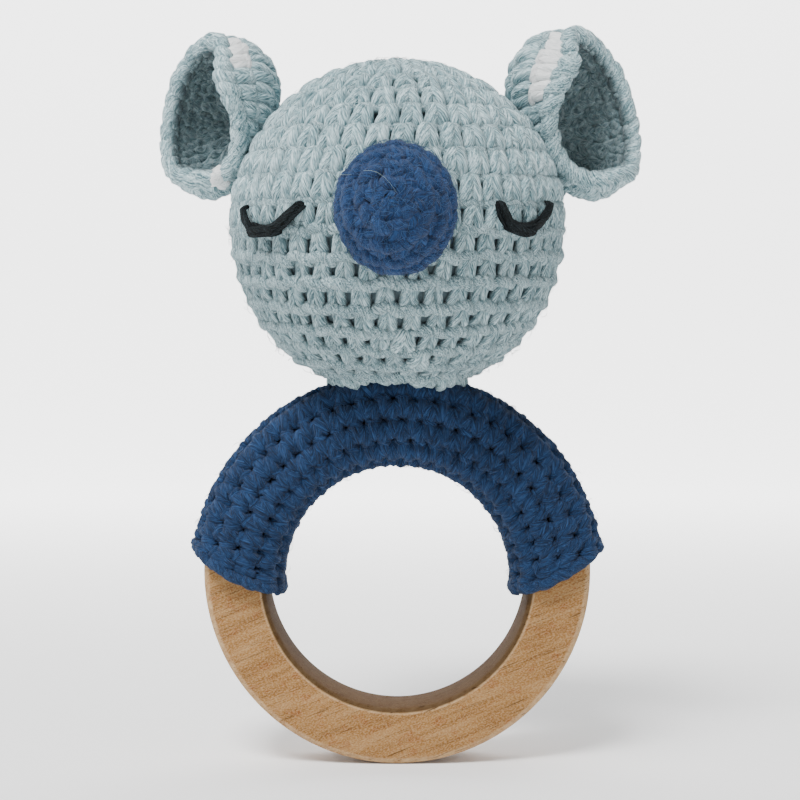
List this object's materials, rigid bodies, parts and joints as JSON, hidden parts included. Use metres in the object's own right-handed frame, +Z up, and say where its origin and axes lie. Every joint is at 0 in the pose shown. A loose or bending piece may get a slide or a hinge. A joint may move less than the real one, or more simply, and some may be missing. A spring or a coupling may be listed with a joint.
{
  "type": "baby rattle",
  "caption": "Crocheted koala head rattle sewn to a sleeve that turns on a wooden teething ring, to hold, shake and chew.",
  "frame": {"origin": "under the middle of the upright rattle, on the plane that the bottom of the ring touches", "axes": "+Z up from the ring to the head, -Y the way the face looks, +X to the right seen from the front; the ring lies in a plane parallel to XZ"},
  "size_m": [0.0875, 0.071, 0.134],
  "materials": {
    "beech": "sanded and oiled beech, satin",
    "navy_yarn": "matte plied cotton yarn, crocheted",
    "grey_yarn": "matte plied cotton yarn, crocheted",
    "white_yarn": "matte plied cotton yarn, crocheted",
    "black_thread": "stranded embroidery thread",
    "fibrefill": "loose polyester fibrefill",
    "capsule_plastic": "moulded polypropylene, satin",
    "pellet_plastic": "smooth plastic beads"
  },
  "bodies": {
    "toy": {"ring_sleeve": "navy_yarn", "sleeve_seam": "navy_yarn", "neck_seam": "grey_yarn", "head_shell": "grey_yarn", "head_stuffing_upper": "fibrefill", "head_stuffing_lower": "fibrefill", "capsule_upper": "capsule_plastic", "capsule_lower": "capsule_plastic", "nose_cap": "navy_yarn", "nose_stuffing": "fibrefill", "nose_seam": "navy_yarn", "eye_left": "black_thread", "eye_right": "black_thread", "ear_seam_left": "grey_yarn", "ear_seam_right": "grey_yarn"},
    "ring": {"wooden_ring": "beech"},
    "left_ear": {"ear_left": "grey_yarn", "ear_white_left": "white_yarn"},
    "right_ear": {"ear_right": "grey_yarn", "ear_white_right": "white_yarn"},
    "pellet_a": {"pellet_1": "pellet_plastic"},
    "pellet_b": {"pellet_2": "pellet_plastic"},
    "pellet_c": {"pellet_3": "pellet_plastic"},
    "pellet_d": {"pellet_4": "pellet_plastic"},
    "pellet_e": {"pellet_5": "pellet_plastic"}
  },
  "joints": [
    {"name": "ring_turn", "type": "hinge", "parent": "toy", "child": "ring", "pos_m": [0, 0.00435, 0.035], "axis": [0, 1, 0], "continuous": true},
    {"name": "ear_fold_left", "type": "hinge", "parent": "toy", "child": "left_ear", "pos_m": [-0.03163, 0.00435, 0.10474], "axis": [0.5225, 0, 0.8526], "range_deg": [-20, 20], "stiffness_Nm_per_rad": 0.006},
    {"name": "ear_fold_right", "type": "hinge", "parent": "toy", "child": "right_ear", "pos_m": [0.03176, 0.00435, 0.10418], "axis": [0.5299, 0, -0.848], "range_deg": [-20, 20], "stiffness_Nm_per_rad": 0.006},
    {"name": "pellet_slide_1", "type": "slide", "parent": "toy", "child": "pellet_a", "axis": [0, 0, 1], "range_m": [0, 0.0156]},
    {"name": "pellet_slide_2", "type": "slide", "parent": "toy", "child": "pellet_b", "axis": [0, 0, 1], "range_m": [0, 0.012]},
    {"name": "pellet_slide_3", "type": "slide", "parent": "toy", "child": "pellet_c", "axis": [0, 0, 1], "range_m": [0, 0.012]},
    {"name": "pellet_slide_4", "type": "slide", "parent": "toy", "child": "pellet_d", "axis": [0, 0, 1], "range_m": [0, 0.012]},
    {"name": "pellet_slide_5", "type": "slide", "parent": "toy", "child": "pellet_e", "axis": [0, 0, 1], "range_m": [0, 0.012]}
  ]
}
